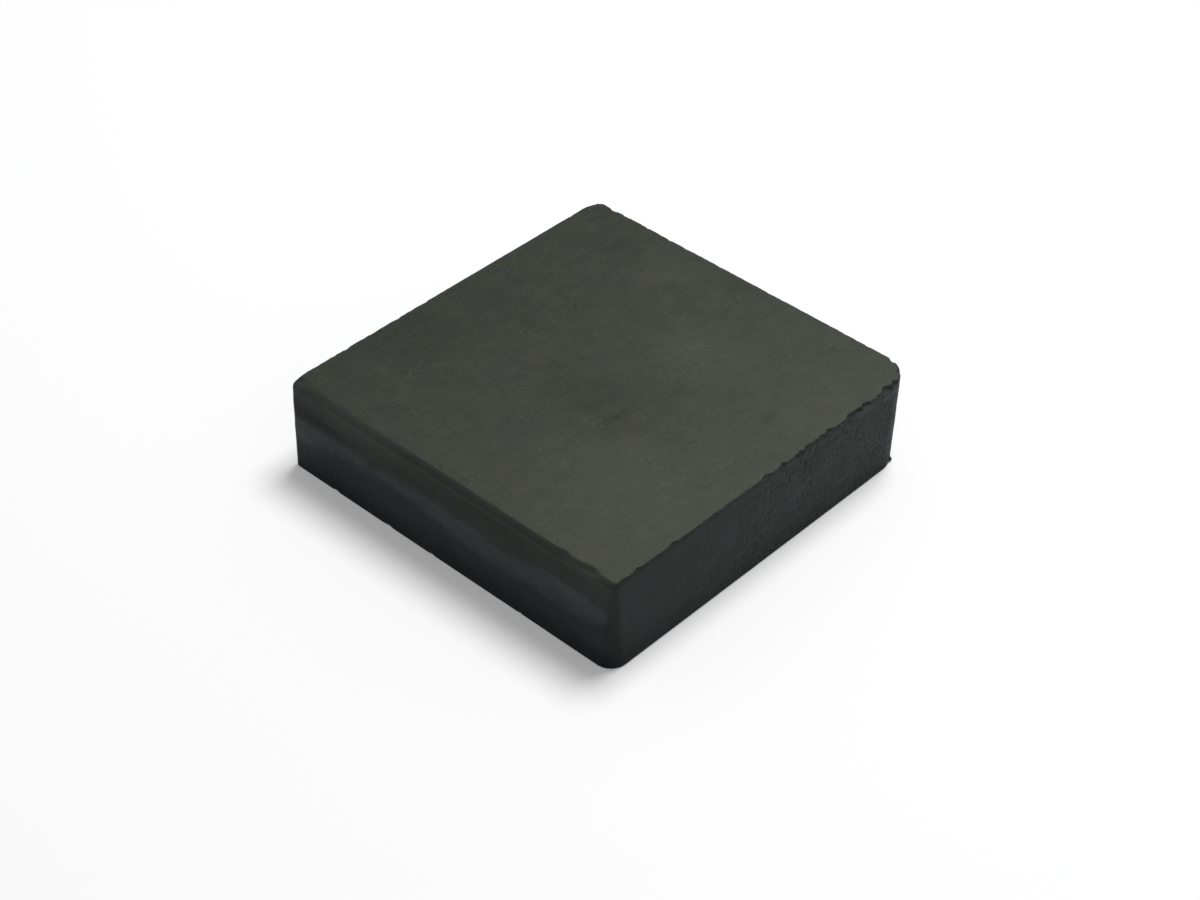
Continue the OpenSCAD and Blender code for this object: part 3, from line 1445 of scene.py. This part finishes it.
@dataclass
class Studio:
    """White table, one soft lamp overhead and a little behind, and the camera.

    Attributes:
        table_half: Half of the table's width.
        table_colour: Colour of the table.
        table_glow: Light that the table's own whiteness adds for the eye alone.
        lamp_size: Width of the lamp.
        lamp_distance: Distance of the lamp from the block.
        lamp_tilt_y: Lean of the lamp's direction towards +Y, in degrees from straight up.
        lamp_tilt_x: Lean towards +X, in degrees.
        lamp_watts: Power of the lamp.
        ambient: Strength of the even light from all round.
        azimuth: Heading of the camera round the block, in degrees; 0 looks along +Y.
        elevation: Height of the camera above the table, in degrees.
        distance: Distance of the camera from the block.
        aim: How far the camera is moved sideways and up to frame the block.
        lens: Focal length of the lens.
        sensor: Width of the sensor.
    """

    table_half: float = 1500.0
    table_colour: str = "#f2f2f2"
    table_glow: float = 0.2
    lamp_size: float = 290.0
    lamp_distance: float = 600.0
    lamp_tilt_y: float = 19.0
    lamp_tilt_x: float = 1.5
    lamp_watts: float = 2.6
    ambient: float = 0.27
    azimuth: float = 43.295
    elevation: float = 39.695
    distance: float = 236.3
    aim: tuple[float, float] = (-0.316, 0.92)
    lens: float = 76.404
    sensor: float = 36.0

    def table(self) -> bpy.types.Object:
        """Lays the table under the block.

        Returns:
            The table.
        """
        clear_selection()
        bpy.ops.mesh.primitive_plane_add(size=2 * self.table_half * MM, location=(0, 0, 0))
        table = bpy.context.active_object
        table.name = "table"
        material = bpy.data.materials.new("matt_white_card")
        material.use_nodes = True
        tree = material.node_tree
        tree.nodes.clear()
        card = add_node(tree, "BsdfDiffuse", {"Color": linear(self.table_colour)}, {})
        seen = self.seen_share(tree)
        strength = add_node(
            tree, "Math", {"operation": "MULTIPLY", 1: self.table_glow}, {0: seen}
        )
        glow = add_node(
            tree, "Emission", {"Color": (0.98, 0.98, 1.0, 1.0)}, {"Strength": strength.outputs[0]}
        )
        both = add_node(tree, "AddShader", {}, {0: card.outputs[0], 1: glow.outputs[0]})
        add_node(tree, "OutputMaterial", {}, {"Surface": both.outputs[0]})
        table.data.materials.append(material)
        return table

    def seen_share(self, tree: bpy.types.NodeTree) -> bpy.types.NodeSocket:
        """Socket that is 1 where the camera, a gloss or a clear body sees a surface, else 0.

        Args:
            tree: Node tree that gets the nodes.

        Returns:
            The socket.
        """
        path = add_node(tree, "LightPath", {}, {})
        seen = path.outputs["Is Camera Ray"]
        for name in ("Is Glossy Ray", "Is Transmission Ray"):
            seen = add_node(
                tree, "Math", {"operation": "MAXIMUM"}, {0: seen, 1: path.outputs[name]}
            ).outputs[0]
        return seen

    def world(self) -> None:
        """Lights the scene evenly, and shows white behind it."""
        world = bpy.data.worlds.new("studio")
        bpy.context.scene.world = world
        world.use_nodes = True
        tree = world.node_tree
        tree.nodes.clear()
        strength = add_node(
            tree,
            "MapRange",
            {3: self.ambient, 4: 1.0},
            {0: self.seen_share(tree)},
        )
        light = add_node(
            tree,
            "Background",
            {"Color": (1.0, 1.0, 1.0, 1.0)},
            {"Strength": strength.outputs[0]},
        )
        add_node(tree, "OutputWorld", {}, {"Surface": light.outputs[0]})

    def lamp(self) -> None:
        """Hangs the lamp."""
        direction = Vector(
            (
                math.tan(math.radians(self.lamp_tilt_x)),
                math.tan(math.radians(self.lamp_tilt_y)),
                1.0,
            )
        ).normalized()
        data = bpy.data.lights.new("softbox", "AREA")
        data.shape = "DISK"
        data.size = self.lamp_size * MM
        data.energy = self.lamp_watts
        lamp = bpy.data.objects.new("softbox", data)
        lamp.location = direction * self.lamp_distance * MM
        lamp.rotation_euler = direction.to_track_quat("Z", "Y").to_euler()
        bpy.context.scene.collection.objects.link(lamp)

    def camera(self) -> None:
        """Sets the camera at the photograph's place."""
        azimuth, elevation = math.radians(self.azimuth), math.radians(self.elevation)
        back = Vector(
            (
                math.sin(azimuth) * math.cos(elevation),
                -math.cos(azimuth) * math.cos(elevation),
                math.sin(elevation),
            )
        )
        right = Vector((math.cos(azimuth), math.sin(azimuth), 0))
        up = back.cross(right)
        data = bpy.data.cameras.new("camera")
        data.lens = self.lens
        data.sensor_width = self.sensor
        data.clip_start = 0.01
        camera = bpy.data.objects.new("camera", data)
        turn = Matrix((right, up, back)).transposed().to_4x4()
        eye = back * self.distance + right * self.aim[0] + up * self.aim[1]
        camera.matrix_world = Matrix.Translation(eye * MM) @ turn
        bpy.context.scene.collection.objects.link(camera)
        bpy.context.scene.camera = camera

    def build(self) -> bpy.types.Object:
        """Sets up the whole studio.

        Returns:
            The table.
        """
        bpy.context.scene.view_settings.view_transform = "Standard"
        self.world()
        self.lamp()
        self.camera()
        return self.table()


def main() -> None:
    """Builds the magnet and its studio, and hands the pieces to the frame."""
    logging.basicConfig(level=logging.INFO, format="%(relativeCreated)d ms %(message)s")
    low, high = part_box(NODE)
    magnet = BlockMagnet(PressedBody(low / MM, high / MM))
    piece = magnet.build()
    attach(piece, BODY)
    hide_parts(NODE)
    LOG.info("%s has %d triangles", piece.name, len(piece.data.polygons))
    table = Studio().build()
    LOG.info("studio is set")


if __name__ == "__main__":
    main()
